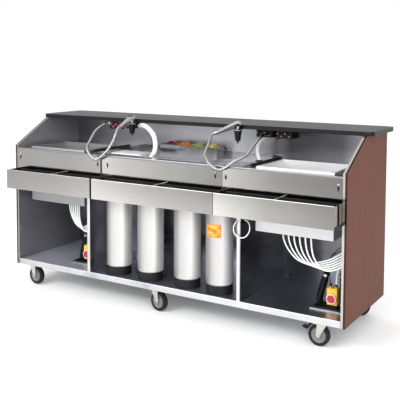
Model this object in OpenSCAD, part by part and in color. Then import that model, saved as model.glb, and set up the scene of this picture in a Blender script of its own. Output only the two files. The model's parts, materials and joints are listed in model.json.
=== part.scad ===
// Portable back bar with a built-in soda system: ice bins, speed rails, syrup tanks and two bar guns.
// +X runs along the bar, +Y towards the customer, +Z up. The origin is on the floor under the middle.

/* [Case] */
// Length over the two side panels
case_length = 2438; // [2430:1:2444]
// Depth of the side panels, front to back
case_depth = 690; // [688:1:694]
// Height of the side panels' top edge
case_top = 1167; // [1160:1:1175]
// Height at which the side panels' front edge starts to slope back
slope_start = 991; // [985:1:1000]
// Gap between the floor and the base frame
base_height = 145; // [145:1:147]
// Thickness of the side panels
side_panel_thickness = 25; // [24:0.5:25]
// Thickness of the customer-side panel
customer_panel_thickness = 18; // [12:1:18]
// Gauge of the folded stainless sheet
sheet = 2; // [1.5:0.5:2]

/* [Countertop] */
// Thickness of the countertop
counter_thickness = 25; // [20:1:30]
// Distance from the side panels' front edge back to the countertop's front edge
counter_setback = 315; // [312:1:318]
// Overhang past each side panel
counter_side_overhang = 33; // [10:1:35]
// Overhang on the customer side
counter_back_overhang = 50; // [40:1:60]
// Radius of the countertop's corners
counter_corner_radius = 40; // [20:1:60]

/* [Work deck] */
// Height of the work deck
deck_height = 975; // [974:1:976]
// Depth of the centre well below the deck
well_depth = 35; // [30:1:35]
// Length of each ice bin's mouth
bin_length = 455; // [440:1:460]
// Front-to-back width of each ice bin's mouth
bin_width = 335; // [320:1:340]
// Depth of each ice bin
bin_depth = 335; // [300:1:340]
// Foamed wall around each ice bin
bin_insulation = 12; // [8:1:12]
// Distance of the dividers' centre planes from the middle
divider_offset = 564; // [562:1:566]
// Thickness of the two dividers
divider_thickness = 24; // [20:1:24]

/* [Speed rails] */
// How far the speed rails stand out in front
rail_projection = 115; // [100:1:130]
// Height of the troughs' underside
rail_bottom = 705; // [690:1:710]
// Depth of the troughs
rail_trough_depth = 127; // [110:1:130]
// Length of the two outer rails
side_rail_length = 735; // [730:1:736]
// Length of the centre rail
centre_rail_length = 896; // [890:1:900]
// Lift that frees a rail from its studs
rail_lift = 18; // [18:1:20]

/* [Soda system] */
// Diameter of a syrup tank
tank_diameter = 170; // [160:1:175]
// Height of a syrup tank
tank_height = 607; // [580:1:620]
// Diameter of the gun hoses
gun_hose_diameter = 18; // [16:1:18]
// Diameter of the wrapped riser hoses
riser_diameter = 30; // [24:1:30]
// Diameter of the syrup lines
line_diameter = 9.5; // [8:0.5:10]
// Length of a bar gun's handle from the nozzle to its end
gun_length = 175; // [175:1:176]

/* [Casters] */
// Wheel diameter
wheel_diameter = 125; // [120:1:125]
// Wheel width
wheel_width = 36; // [30:1:36]
// Distance from the swivel axis to the axle
caster_trail = 28; // [26:1:30]

/* [Hidden] */
$fn = 64;

// The case's main planes
front = rail_projection - (rail_projection + case_depth + counter_back_overhang) / 2;
back = front + case_depth;
half_length = case_length / 2;
inner_x = half_length - side_panel_thickness;
liner_thickness = 1.5;
inside_x = inner_x - liner_thickness;
stud_depth = 25.5;
wall_y = back - customer_panel_thickness - stud_depth;
back_face = wall_y - liner_thickness;
floor_top = base_height + 33;
lip_top = base_height + 38;
counter_front = front + counter_setback;

// Centre well and ice bins
well_floor = deck_height - well_depth;
well_half = 560;
well_front = front + 85;
well_back = back_face - 8;
bin_inner_x = 657;
bin_x = bin_inner_x + bin_length / 2;
bin_front = front + 70;
bin_y = bin_front + bin_width / 2;
bin_rim = 8;
bin_floor = deck_height - bin_depth;
tub_bottom = bin_floor - 37;

// Speed rails
rail_back = front - 1;
trough_top = rail_bottom + rail_trough_depth;
rail_plate_top = 964;
rail_divider_top = trough_top - 7;
side_rail_x = 457 + side_rail_length / 2;
stud_height = 930;
apron_bottom = 860;
apron_foot = 14;
side_stud_span = side_rail_length / 2 - 22;
centre_rail_x = 5;
centre_stud_span = 403;

// Syrup tanks
tank_x = [-392, -139, 143, 375];
tank_y = front + 112;
tank_radius = tank_diameter / 2;
boot_height = 56;
tank_wall = 1.5;

// Bar guns: nozzle position, turn about Z, slope of the handle and roll about the handle
gun_place_left = [-412, -28, 1204];
gun_turn_left = -85;
gun_slope_left = 19;
gun_roll_left = 12;
gun_place_right = [403, -28, 1196];
gun_turn_right = 180;
gun_slope_right = 21;
gun_roll_right = 48;
button_size = 10;
button_height = 7;
button_pitch = 14;
button_travel = 2.5;
holster_top = 1162;
holster_height = 68;

// Casters: plate centres, and how each fork is turned
caster_x = [-1118, -62, 1076];
caster_front_y = front + 66;
caster_back_y = back - 42;
caster_turns_front = [-5, -10, 180];
caster_turns_back = [12, -15, 62];
axle_height = wheel_diameter / 2;
plate_thickness = 4;
crown_top = base_height - plate_thickness - 0.5;
crown_bottom = wheel_diameter + 5;
kingpin_radius = 6;
axle_radius = 5;
fork_leg = 4;

// Soda pumps, and the wall beside each one that its lines run to
pump_x = [-717, 1077];
pump_walls = [-divider_offset - divider_thickness / 2, inside_x];
pump_y = front + 160;

// Hose routes, from the gun or manifold to the other end
gun_hose_left_route = [
    [-398, -184, 1149], [-396, -212, 1139], [-380, -250, 1112], [-378, -284, 1065],
    [-392, -320, 1013], [-420, -344, 976], [-465, -349, 949], [-510, -350, 968],
    [-572, -312, 1005], [-621, -247, 1019], [-655, -182, 1042], [-686, -82, 1100],
    [-682, 10, 1142], [-664, 46, 1147], [-636, 56, 1146]];
gun_hose_right_route = [
    [247, -28, 1136], [216, -28, 1124], [221, -62, 1098], [240, -112, 1070],
    [270, -202, 1030], [292, -245, 1016], [325, -286, 1010], [358, -322, 995],
    [405, -338, 966], [450, -338, 955], [492, -338, 974], [532, -310, 1009],
    [564, -252, 1031], [566, -202, 1045], [556, -132, 1075], [550, -62, 1100],
    [540, 18, 1124], [540, 100, 1142]];
riser_left_route = [
    [-400, 40, 1140], [-370, 22, 1147], [-325, -14, 1150], [-260, -52, 1138],
    [-190, -98, 1105], [-155, -128, 1075], [-135, -150, 1035], [-138, -162, 995],
    [-160, -160, 965], [-166, -160, 950]];
riser_right_route = [
    [560, 196, 1128], [530, 200, 1118], [495, 200, 1103], [458, 200, 1084],
    [434, 200, 1052], [426, 202, 1015], [431, 202, 980], [438, 202, 965], [440, 202, 950]];
drip_ring_route = [
    [576, -306, 665], [560, -318, 662], [545, -328, 640], [540, -330, 615], [546, -328, 588],
    [565, -322, 570], [590, -318, 566], [612, -316, 575], [628, -306, 598], [630, -298, 622],
    [622, -290, 645], [606, -286, 660], [590, -288, 667]];
line_count = 6;

// Ends of the fan of syrup lines: offsets from the wall that the lines run to
first_line = [
    [-412, -170, tub_bottom + 1], [-404, -171, 553], [-380, -172, 507], [-350, -172, 473],
    [-320, -172, 449], [-278, -172, 434], [-240, -172, 433], [-132, -170, 468],
    [-70, -166, 505], [-6, -158, 545]];
last_line = [
    [-214, -222, tub_bottom + 1], [-208, -227, 553], [-198, -230, 507], [-183, -230, 474],
    [-165, -230, 449], [-143, -230, 432], [-114, -230, 426], [-75, -228, 434],
    [-36, -222, 452], [-6, -216, 470]];
line_spread = [0.665, 1];

// One syrup line's route: its number in the fan, and the side of the bar
function syrup_route(i, side) = [
    for (k = [0 : len(first_line) - 1])
        let (place = first_line[k] + (last_line[k] - first_line[k]) * i / (line_count - 1))
        [pump_walls[side] + line_spread[side] * place[0], place[1], place[2]]];

// Routes from a pump to the wall beside it
function wire_route_a(side) = [
    [pump_x[side] - 15, -122, 306], [pump_x[side] - 14, -134, 350], [pump_x[side] - 15, -146, 430],
    [pump_x[side] - 2, -150, 485], [pump_x[side] + 40, -146, 520], [pump_walls[side] - 12, -138, 548]];
function wire_route_b(side) = [
    [pump_x[side] - 56, -72, 375], [pump_x[side] - 46, -100, 415], [pump_x[side] - 26, -130, 455],
    [pump_x[side] + 4, -140, 500], [pump_x[side] + 44, -134, 540], [pump_walls[side] - 12, -124, 566]];
function pump_line_route(side) = [
    [pump_x[side] + 19, -122, 306], [pump_x[side] + 22, -128, 345], [pump_x[side] + 30, -136, 395],
    [pump_x[side] + 44, -136, 440], [pump_x[side] + 72, -130, 474], [pump_walls[side] - 6, -124, 490]];

// ---------- shared shapes ----------

// A box from its low corner to its high corner
module block(low, high) {
    translate(low) cube(high - low);
}

// A box with an open top: outer corners and wall thickness
module open_box(low, high, wall) {
    difference() {
        block(low, high);
        block(low + [wall, wall, wall], high + [-wall, -wall, 1]);
    }
}

// An outline in the YZ plane pushed out along X
module along_x(x, width) {
    translate([x, 0, 0]) rotate([90, 0, 90]) linear_extrude(width) children();
}

// A cylinder between two points
module rod(from, to, radius) {
    reach = to - from;
    turn = atan2(reach[1], reach[0]);
    tilt = acos(reach[2] / norm(reach));
    translate(from) rotate([0, tilt, turn]) cylinder(r = radius, h = norm(reach));
}

module mirrored_x() {
    children();
    mirror([1, 0, 0]) children();
}

// ---------- swept tubes ----------

function unit(v) = v / norm(v);

// A smooth curve through four neighbouring points, between the middle two
function curve_point(a, b, c, d, t) =
    (2 * b + (c - a) * t + (2 * a - 5 * b + 4 * c - d) * t * t
     + (3 * b - a - 3 * c + d) * t * t * t) / 2;

function smooth_route(route, steps) = concat(
    [for (i = [0 : len(route) - 2], s = [0 : steps - 1])
        curve_point(route[max(i - 1, 0)], route[i], route[i + 1],
                    route[min(i + 2, len(route) - 1)], s / steps)],
    [route[len(route) - 1]]);

function heading(path, i) =
    unit(path[min(i + 1, len(path) - 1)] - path[max(i - 1, 0)]);

// The direction of a ring's first corner, carried along the path without twist
function carried(normal, direction) = unit(normal - (normal * direction) * direction);

function ring_normals(path) = [
    for (i = 0, n = carried([0.31, 0.47, 0.83], heading(path, 0)); i < len(path);
         i = i + 1, n = carried(n, heading(path, min(i, len(path) - 1)))) n];

module tube(route, diameter, steps, sides) {
    path = smooth_route(route, steps);
    normals = ring_normals(path);
    rings = len(path);
    corners = [for (i = [0 : rings - 1], k = [0 : sides - 1])
        let (n = normals[i], b = cross(heading(path, i), n), a = 360 * k / sides)
        path[i] + diameter / 2 * (cos(a) * n + sin(a) * b)];
    sides_low = [for (i = [0 : rings - 2], k = [0 : sides - 1])
        let (j = (k + 1) % sides)
        [i * sides + k, (i + 1) * sides + k, (i + 1) * sides + j]];
    sides_high = [for (i = [0 : rings - 2], k = [0 : sides - 1])
        let (j = (k + 1) % sides)
        [i * sides + k, (i + 1) * sides + j, i * sides + j]];
    start_cap = [[for (k = [0 : sides - 1]) k]];
    end_cap = [[for (k = [sides - 1 : -1 : 0]) (rings - 1) * sides + k]];
    polyhedron(corners, concat(sides_low, sides_high, start_cap, end_cap), convexity = 8);
}

// ---------- case ----------

// Outline of a side panel in the YZ plane, drawn in by a margin
module side_outline(margin) {
    polygon([
        [front + margin, base_height + margin], [back - margin, base_height + margin],
        [back - margin, case_top - margin], [counter_front + 1.5 * margin, case_top - margin],
        [front + margin, slope_start - 0.5 * margin]]);
}

module base_frame() {
    tube_width = 40;
    top = floor_top - sheet;
    color("gainsboro") difference() {
        block([-inside_x, front + sheet, base_height], [inside_x, wall_y - 2, top]);
        for (bay = [[-inside_x, -divider_offset], [-divider_offset, 0],
                    [0, divider_offset], [divider_offset, inside_x]])
            block([bay[0] + tube_width, front + tube_width, base_height - 1],
                  [bay[1] - tube_width, wall_y - tube_width, top + 1]);
    }
}

module floor_pan() {
    color("silver") {
        block([-inside_x, front, floor_top - sheet], [inside_x, back_face, floor_top]);
        block([-inside_x, front, base_height], [inside_x, front + sheet, lip_top]);
    }
}

module side_panel(side) {
    color("saddlebrown")
        along_x(side > 0 ? inner_x : -half_length, side_panel_thickness) side_outline(0);
}

module edge_strip_outline() {
    t = liner_thickness;
    polygon([
        [front, base_height], [front, slope_start], [counter_front, case_top],
        [counter_front - 2 * t, case_top], [front - t, slope_start + t / 2],
        [front - t, base_height]]);
}

module side_liners() {
    color("silver") mirrored_x() {
        along_x(inside_x, liner_thickness) intersection() {
            side_outline(4);
            translate([front, floor_top]) square([back_face - front, case_top]);
        }
        along_x(inner_x, side_panel_thickness) edge_strip_outline();
    }
}

module customer_panel() {
    joint = 2;
    third = 2 * inner_x / 3;
    color("saddlebrown") for (i = [0 : 2])
        block([-inner_x + i * third + joint / 2, back - customer_panel_thickness, base_height],
              [-inner_x + (i + 1) * third - joint / 2, back, case_top]);
}

module wall_studs() {
    stud_width = 40;
    color("gray") for (i = [-2 : 2])
        translate([i * (inner_x - stud_width) / 2 - stud_width / 2, wall_y, floor_top])
            cube([stud_width, stud_depth, case_top - floor_top]);
}

module back_liner() {
    color("lightsteelblue")
        block([-inside_x, back_face, floor_top], [inside_x, wall_y, case_top]);
}

// Each divider is notched round the turned-in foot of the deck's apron
module dividers() {
    x0 = divider_offset - divider_thickness / 2;
    x1 = divider_offset + divider_thickness / 2;
    color("silver") mirrored_x() difference() {
        block([x0, front + sheet, floor_top], [x1, back_face, well_floor - sheet - 1]);
        block([x0 - 1, front, apron_bottom - 1], [x1 + 1, front + apron_foot + 1, apron_bottom + sheet + 1]);
    }
}

module countertop() {
    r = counter_corner_radius;
    x = half_length + counter_side_overhang;
    y0 = counter_front;
    y1 = back + counter_back_overhang;
    color("dimgray") translate([0, 0, case_top]) {
        block([-x + r, y0, 0], [x - r, y1, counter_thickness]);
        block([-x, y0 + r, 0], [x, y1 - r, counter_thickness]);
        for (cx = [-x + r, x - r], cy = [y0 + r, y1 - r])
            translate([cx, cy, 0]) cylinder(r = r, h = counter_thickness);
    }
}

// ---------- work deck ----------

module work_deck() {
    hole_gap = 3;
    bin_hole = bin_insulation + 0.3;
    color("silver") difference() {
        union() {
            block([-inside_x, front, deck_height - sheet], [inside_x, back_face, deck_height]);
            block([-inside_x, front, apron_bottom], [inside_x, front + sheet, deck_height]);
            block([-inside_x, front, apron_bottom], [inside_x, front + apron_foot, apron_bottom + sheet]);
        }
        block([-well_half - hole_gap, well_front - hole_gap, deck_height - 5],
              [well_half + hole_gap, well_back + hole_gap, deck_height + 5]);
        mirrored_x()
            block([bin_inner_x - bin_hole, bin_front - bin_hole, deck_height - 5],
                  [bin_inner_x + bin_length + bin_hole, bin_front + bin_width + bin_hole, deck_height + 5]);
    }
}

module center_well() {
    flange = 14;
    low = [-well_half - sheet, well_front - sheet, well_floor - sheet];
    high = [well_half + sheet, well_back + sheet, deck_height];
    color("silver") difference() {
        union() {
            block(low, high);
            block([low[0] - flange, low[1] - flange, deck_height],
                  [high[0] + flange, high[1] + 4, deck_height + sheet]);
        }
        block(low + [sheet, sheet, sheet], high + [-sheet, -sheet, sheet + 1]);
        for (grommet = [riser_left_route[9], riser_right_route[8]])
            translate([grommet[0], grommet[1], well_floor - 10]) cylinder(r = 20, h = 20);
    }
}

// Black strips beside the ice bins, and the grommets the risers pass through
module deck_rubber() {
    color([0.1, 0.1, 0.1]) {
        mirrored_x()
            block([585, front + 95, deck_height + sheet], [605, front + 500, deck_height + 10]);
        for (grommet = [riser_left_route[9], riser_right_route[8]])
            translate([grommet[0], grommet[1], well_floor]) difference() {
                union() {
                    cylinder(r = 26, h = 4);
                    translate([0, 0, -8]) cylinder(r = 19.8, h = 20);
                }
                translate([0, 0, -9]) cylinder(r = riser_diameter / 2, h = 30);
            }
    }
}

module ice_bin(side) {
    x0 = bin_inner_x;
    x1 = bin_inner_x + bin_length;
    y0 = bin_front;
    y1 = bin_front + bin_width;
    w = bin_insulation;
    color("silver") scale([side, 1, 1]) difference() {
        block([x0 - w, y0 - w, tub_bottom], [x1 + w, y1 + w, deck_height + bin_rim]);
        block([x0, y0, bin_floor], [x1, y1, deck_height + bin_rim + 1]);
        translate([bin_x, bin_y, tub_bottom - 1]) cylinder(r = 12, h = bin_depth);
    }
}

module drain_fittings() {
    color("white") mirrored_x() translate([bin_x, bin_y, 0]) {
        difference() {
            translate([0, 0, tub_bottom - 35]) cylinder(r = 11.7, h = 72);
            translate([0, 0, tub_bottom - 40]) cylinder(r = 8, h = 90);
        }
        difference() {
            translate([0, 0, tub_bottom - 16]) cylinder(r = 20, h = 16, $fn = 6);
            translate([0, 0, tub_bottom - 20]) cylinder(r = 11, h = 30);
        }
    }
    // Bulkhead fittings where the lines meet the walls
    for (side = [0, 1]) {
        line_ends = [for (i = [0 : line_count - 1]) syrup_route(i, side)[len(first_line) - 1]];
        for (end = concat(line_ends, [pump_line_route(side)[5]]))
            color("white") translate(end) rotate([0, 90, 0]) cylinder(r = 6.5, h = pump_walls[side] - end[0]);
    }
}

// ---------- speed rails ----------

// Keyhole outline: a narrow slot above, opening into a tapering hole below
module keyhole() {
    slot_radius = 4;
    head_radius = 8;
    translate([0, -rail_lift]) circle(r = head_radius);
    circle(r = slot_radius);
    translate([-slot_radius, -rail_lift]) square([2 * slot_radius, rail_lift]);
    polygon([[-head_radius, -rail_lift], [head_radius, -rail_lift],
             [2, -rail_lift - 18], [-2, -rail_lift - 18]]);
}

module speed_rail(x, length, stud_span) {
    lip = 6;
    low = [x - length / 2, front - rail_projection, rail_bottom];
    high = [x + length / 2, rail_back, trough_top];
    color("silver") {
        open_box(low, high, sheet);
        block([low[0], low[1], trough_top - sheet], [high[0], low[1] + lip, trough_top]);
        block([x - sheet / 2, low[1], rail_bottom], [x + sheet / 2, rail_back, rail_divider_top]);
        difference() {
            block([low[0], rail_back - sheet, rail_bottom], [high[0], rail_back, rail_plate_top]);
            for (s = [-stud_span, stud_span])
                translate([x + s, rail_back + 1, stud_height]) rotate([90, 0, 0])
                    linear_extrude(sheet + 2) keyhole();
        }
    }
}

module rail_studs() {
    spots = concat(
        [for (side = [-1, 1], s = [-side_stud_span, side_stud_span]) side * side_rail_x + s],
        [centre_rail_x - centre_stud_span, centre_rail_x + centre_stud_span]);
    color("silver") for (x = spots) translate([x, front, stud_height]) rotate([90, 0, 0]) {
        cylinder(r = 3.5, h = sheet + 5);
        translate([0, 0, sheet + 1.4]) cylinder(r = 7, h = 3);
    }
}

// ---------- accessories on the deck ----------

module cutting_board() {
    color("white") block([-556, front + 235, well_floor + 0.3], [-306, front + 392, well_floor + 20]);
}

module drain_rack() {
    x0 = 212;
    x1 = 552;
    y0 = front + 100;
    y1 = front + 390;
    slot_pitch = 20;
    slot_count = floor((x1 - x0 - 20) / slot_pitch);
    color("silver") difference() {
        block([x0, y0, well_floor + 0.3], [x1, y1, well_floor + 15]);
        block([x0 + sheet, y0 + sheet, well_floor - 1], [x1 - sheet, y1 - sheet, well_floor + 13]);
        for (i = [0 : slot_count - 1])
            block([x0 + 15 + i * slot_pitch, y0 + 20, well_floor + 10],
                  [x0 + 23 + i * slot_pitch, y1 - 20, well_floor + 16]);
    }
}

tray_low = [-350, front + 525, well_floor];
tray_high = [115, front + 633, well_floor + 64];
pan_count = 4;

module condiment_tray() {
    color("silver") open_box(tray_low, tray_high, sheet);
}

module condiment_pans() {
    wall = 1;
    gap = 4;
    pitch = (tray_high[0] - tray_low[0] - 2 * sheet - gap) / pan_count;
    color("gainsboro") for (i = [0 : pan_count - 1]) {
        x = tray_low[0] + sheet + gap / 2 + i * pitch;
        open_box([x + 1, tray_low[1] + sheet + 1, well_floor + sheet],
                 [x + pitch - 1, tray_high[1] - sheet - 1, tray_high[2] - 2], wall);
    }
}

// ---------- soda system ----------

// Half outline of a tank's shell, drawn in by a margin
module tank_outline(margin) {
    r = tank_radius - margin;
    foot = tank_radius - 8 - margin;
    base = floor_top + 8 + margin;
    shoulder = floor_top + tank_height - 75;
    dome = 38 - margin;
    polygon(concat(
        [[0, base], [foot, base], [foot, floor_top + boot_height + 1],
         [r, floor_top + boot_height + 7]],
        [for (a = [0 : 15 : 90]) [r - 30 + 30 * cos(a), shoulder + dome * sin(a)]],
        [[0, shoulder + dome]]));
}

module tank_shells() {
    color("silver") for (x = tank_x) translate([x, tank_y, 0]) difference() {
        rotate_extrude() tank_outline(0);
        rotate_extrude() tank_outline(tank_wall);
    }
}

module tank_boots() {
    rim_top = floor_top + tank_height;
    color([0.1, 0.1, 0.14]) for (x = tank_x) translate([x, tank_y, 0]) {
        rotate_extrude() difference() {
            translate([0, floor_top]) square([tank_radius - 2, boot_height]);
            translate([0, floor_top + 7.7]) square([tank_radius - 7.7, boot_height]);
        }
        difference() {
            translate([0, 0, rim_top - 50]) cylinder(r = tank_radius - 1, h = 50);
            translate([0, 0, rim_top - 51]) cylinder(r = tank_radius - 13, h = 52);
            for (turn = [0, 90])
                rotate([0, 0, turn]) block([-35, -tank_radius, rim_top - 34],
                                           [35, tank_radius, rim_top - 14]);
            rotate_extrude() tank_outline(-0.3);
        }
    }
}

module tank_fittings() {
    lid = floor_top + tank_height - 75 + 38.2;
    color("silver") for (x = tank_x) translate([x, tank_y, lid]) {
        cylinder(r = 38, h = 6);
        translate([0, 0, 6]) cylinder(r = 7, h = 12);
        for (s = [-1, 1]) translate([52 * s, 0, 0]) {
            cylinder(r = 9, h = 22, $fn = 6);
            translate([0, 0, 22]) cylinder(r = 6.5, h = 10);
        }
    }
}

module gun_holsters() {
    color([0.1, 0.1, 0.1]) for (gun = [gun_place_left, gun_place_right])
        translate([gun[0], gun[1], 0]) {
            rotate_extrude() polygon([
                [0, holster_top - holster_height], [16, holster_top - holster_height],
                [24, holster_top - 8], [27, holster_top - 8], [27, holster_top],
                [23, holster_top], [23, holster_top - 6], [13, holster_top - holster_height + 4],
                [0, holster_top - holster_height + 4]]);
            translate([0, 0, holster_top - holster_height - 16]) cylinder(r = 5, h = 17);
            block([-10, 24, holster_top - 30], [10, 29, case_top]);
            block([-10, 24, case_top - 4], [10, 80, case_top]);
        }
}

module gun_frame(place, turn, slope, roll) {
    translate(place) rotate([0, 0, turn]) rotate([0, slope, 0]) rotate([roll, 0, 0]) children();
}

module button_spots() {
    for (i = [0 : 3])
        translate([(i % 2) * button_pitch, (floor(i / 2) - 0.5) * button_pitch, 0]) children();
}

// Head and handle along +X, nozzle straight down
module bar_gun(place, turn, slope, roll) {
    head_radius = 22;
    face = 14;
    ferrule = 20;
    color("silver") {
        gun_frame(place, turn, slope, roll) difference() {
            union() {
                hull() {
                    translate([0, 0, -face + 2]) cylinder(r = head_radius - 3, h = 2 * face - 2, $fn = 32);
                    translate([45, 0, -face + 4]) cylinder(r = head_radius - 5, h = 2 * face - 8, $fn = 32);
                    translate([gun_length - ferrule - 4, 0, 0]) rotate([0, 90, 0])
                        cylinder(r = 11, h = 4, $fn = 32);
                }
                translate([gun_length - ferrule - 2, 0, 0]) rotate([0, 90, 0])
                    cylinder(r = 12.5, h = ferrule + 2);
            }
            translate([gun_length - 12, 0, 0]) rotate([0, 90, 0]) cylinder(r = 10.7, h = 20);
            button_spots() translate([-5.2, -5.2, face - 4]) cube([10.4, 10.4, 20]);
        }
        translate(place + [0, 0, -70]) cylinder(r1 = 7, r2 = 9, h = 60);
    }
}

module gun_button(place, turn, slope, roll, index) {
    face = 14;
    color([0.12, 0.12, 0.12]) gun_frame(place, turn, slope, roll)
        translate([(index % 2) * button_pitch, (floor(index / 2) - 0.5) * button_pitch,
                   face - 4 + button_travel + 0.4])
            translate([-button_size / 2, -button_size / 2, 0])
                cube([button_size, button_size, button_height - button_travel]);
}

module gun_left() {
    bar_gun(gun_place_left, gun_turn_left, gun_slope_left, gun_roll_left);
}

module gun_right() {
    bar_gun(gun_place_right, gun_turn_right, gun_slope_right, gun_roll_right);
}

module gun_button_left(index) {
    gun_button(gun_place_left, gun_turn_left, gun_slope_left, gun_roll_left, index);
}

module gun_button_right(index) {
    gun_button(gun_place_right, gun_turn_right, gun_slope_right, gun_roll_right, index);
}

module manifolds() {
    z0 = case_top - 55;
    color([0.1, 0.1, 0.1]) {
        block([-640, 20, z0], [-545, 95, case_top]);
        block([-535, 20, z0 + 8], [-440, 95, case_top]);
        rod([-546, 58, z0 + 25], [-534, 58, z0 + 25], 9);
        rod([-441, 45, z0 + 28], [-398, 39, z0 + 28], 9);
        block([470, 95, z0], [580, 205, case_top]);
        block([612, 95, z0], [715, 205, case_top]);
        rod([579, 130, z0 + 25], [613, 130, z0 + 25], 11);
        translate([596, 130, z0 - 14]) cylinder(r = 10, h = 40);
    }
}

module riser_hoses() {
    color("white") {
        tube(riser_left_route, riser_diameter, 2, 12);
        tube(riser_right_route, riser_diameter, 2, 12);
    }
}

module gun_hose_left() {
    color("lightgray") tube(gun_hose_left_route, gun_hose_diameter, 2, 10);
}

module gun_hose_right() {
    color("lightgray") tube(gun_hose_right_route, gun_hose_diameter, 2, 10);
}

module product_lines() {
    color("white") {
        for (side = [0, 1]) {
            for (i = [0 : line_count - 1])
                tube(syrup_route(i, side), line_diameter, 1, 8);
            tube(pump_line_route(side), line_diameter, 2, 8);
        }
        tube(drip_ring_route, line_diameter * 0.7, 1, 8);
    }
}

module pump_wires() {
    color([0.1, 0.1, 0.1]) for (side = [0, 1]) {
        tube(wire_route_a(side), 5, 2, 8);
        tube(wire_route_b(side), 5, 2, 8);
    }
}

module pump_motors() {
    color([0.12, 0.12, 0.12]) for (x = pump_x) translate([x, pump_y, floor_top]) {
        block([-112, 5, 0], [66, 105, 8]);
        block([-25, 14, 7], [27, 56, 27]);
        translate([-106, 82, 16]) rotate([0, 15, 0]) cylinder(r = 19, h = 180);
        block([-116, 66, 7], [-84, 98, 24]);
        translate([49, 40, 7]) cylinder(r = 13, h = 205);
        translate([49, 40, 211]) cylinder(r = 8, h = 14);
    }
}

module pump_heads() {
    color("gold") for (x = pump_x) translate([x, pump_y, floor_top]) {
        difference() {
            block([-29, 10, 27.2], [31, 60, 122]);
            for (s = [-15, 19]) translate([s, 30.5, 110]) cylinder(r = 4, h = 20);
        }
        translate([0, 11, 64]) rotate([90, 0, 0]) cylinder(r = 29, h = 12);
        for (s = [-15, 19]) translate([s, 30.5, 121]) difference() {
            cylinder(r = 7.5, h = 9);
            translate([0, 0, -1]) cylinder(r = 5, h = 12);
        }
    }
}

// ---------- casters ----------

module caster_at(x, y, turn) {
    translate([x, y, 0]) rotate([0, 0, turn]) children();
}

module caster_plates() {
    color("silver") for (x = caster_x, y = [caster_front_y, caster_back_y])
        translate([x, y, 0]) {
            block([-48, -38, base_height - plate_thickness], [48, 38, base_height]);
            translate([0, 0, crown_bottom - 1.5]) cylinder(r = kingpin_radius, h = 14);
            translate([0, 0, crown_bottom - 3.5]) cylinder(r = 10, h = 3.2);
        }
}

module caster_fork(x, y, turn, brake) {
    gap = wheel_width / 2 + 3;
    color("silver") caster_at(x, y, turn) {
        difference() {
            union() {
                translate([0, 0, crown_bottom]) cylinder(r = 28, h = crown_top - crown_bottom);
                block([-24, -gap - fork_leg, crown_bottom], [34, gap + fork_leg, crown_bottom + 6]);
                if (brake)
                    block([30, -gap - fork_leg, crown_bottom - 4], [58, gap + fork_leg, crown_bottom + 6]);
            }
            translate([0, 0, crown_bottom - 10])
                cylinder(r = kingpin_radius + 0.05, h = 40);
            if (brake)
                block([36, -gap, crown_bottom - 10], [70, gap, crown_bottom + 20]);
        }
        for (side = [-gap - fork_leg, gap])
            translate([0, side + fork_leg, 0]) rotate([90, 0, 0]) linear_extrude(fork_leg) {
                polygon([[-24, crown_bottom + 6], [34, crown_bottom + 6],
                         [caster_trail + 12, axle_height], [caster_trail - 12, axle_height]]);
                translate([caster_trail, axle_height]) circle(r = 12);
            }
        rod([caster_trail, -gap - fork_leg - 5, axle_height],
            [caster_trail, gap + fork_leg + 5, axle_height], axle_radius);
        if (brake)
            rod([52, -gap - fork_leg, crown_bottom + 1], [52, gap + fork_leg, crown_bottom + 1], 3);
    }
}

module caster_wheel(x, y, turn) {
    half = wheel_width / 2;
    r = wheel_diameter / 2;
    color([0.15, 0.15, 0.15]) caster_at(x, y, turn)
        translate([caster_trail, 0, axle_height]) rotate([90, 0, 0]) rotate_extrude()
            polygon([
                [axle_radius + 0.05, -half - 2], [14, -half - 2], [16, -half + 6], [42, -half + 6],
                [44, -half + 2], [r - 8, -half], [r - 2, -half + 3], [r, -half + 9],
                [r, half - 9], [r - 2, half - 3], [r - 8, half], [44, half - 2],
                [42, half - 6], [16, half - 6], [14, half + 2], [axle_radius + 0.05, half + 2]]);
}

// Pedal over the trailing side of the braked wheel
module brake_pedal() {
    width = wheel_width - 2;
    pin = [52, crown_bottom + 1];
    color([0.1, 0.1, 0.1]) caster_at(caster_x[2], caster_front_y, caster_turns_front[2])
        translate([0, width / 2, 0]) rotate([90, 0, 0]) linear_extrude(width) difference() {
            union() {
                translate(pin) circle(r = 6);
                polygon([[50, 137], [60, 136], [84, 122], [101, 97], [124, 101], [126, 95],
                         [98, 84], [90, 93], [77, 110], [60, 125], [50, 125.5]]);
            }
            translate(pin) circle(r = 3.1);
        }
}

// ---------- nodes ----------

base_frame();
floor_pan();
side_panel(-1);  // side_panel_left
side_panel(1);  // side_panel_right
side_liners();
customer_panel();
wall_studs();
back_liner();
dividers();
work_deck();
center_well();
deck_rubber();
ice_bin(-1);  // ice_bin_left
ice_bin(1);  // ice_bin_right
countertop();
rail_studs();
condiment_tray();
condiment_pans();
gun_holsters();
manifolds();
riser_hoses();
pump_motors();
pump_heads();
pump_wires();
product_lines();
drain_fittings();
tank_shells();
tank_boots();
tank_fittings();
caster_plates();
speed_rail(-side_rail_x, side_rail_length, side_stud_span);  // speed_rail_left
speed_rail(centre_rail_x, centre_rail_length, centre_stud_span);  // speed_rail_center
speed_rail(side_rail_x, side_rail_length, side_stud_span);  // speed_rail_right
caster_fork(caster_x[0], caster_front_y, caster_turns_front[0], false);  // caster_fork_front_left
caster_fork(caster_x[1], caster_front_y, caster_turns_front[1], false);  // caster_fork_front_center
caster_fork(caster_x[2], caster_front_y, caster_turns_front[2], true);  // caster_fork_front_right
caster_fork(caster_x[0], caster_back_y, caster_turns_back[0], false);  // caster_fork_back_left
caster_fork(caster_x[1], caster_back_y, caster_turns_back[1], false);  // caster_fork_back_center
caster_fork(caster_x[2], caster_back_y, caster_turns_back[2], false);  // caster_fork_back_right
caster_wheel(caster_x[0], caster_front_y, caster_turns_front[0]);  // caster_wheel_front_left
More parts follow.
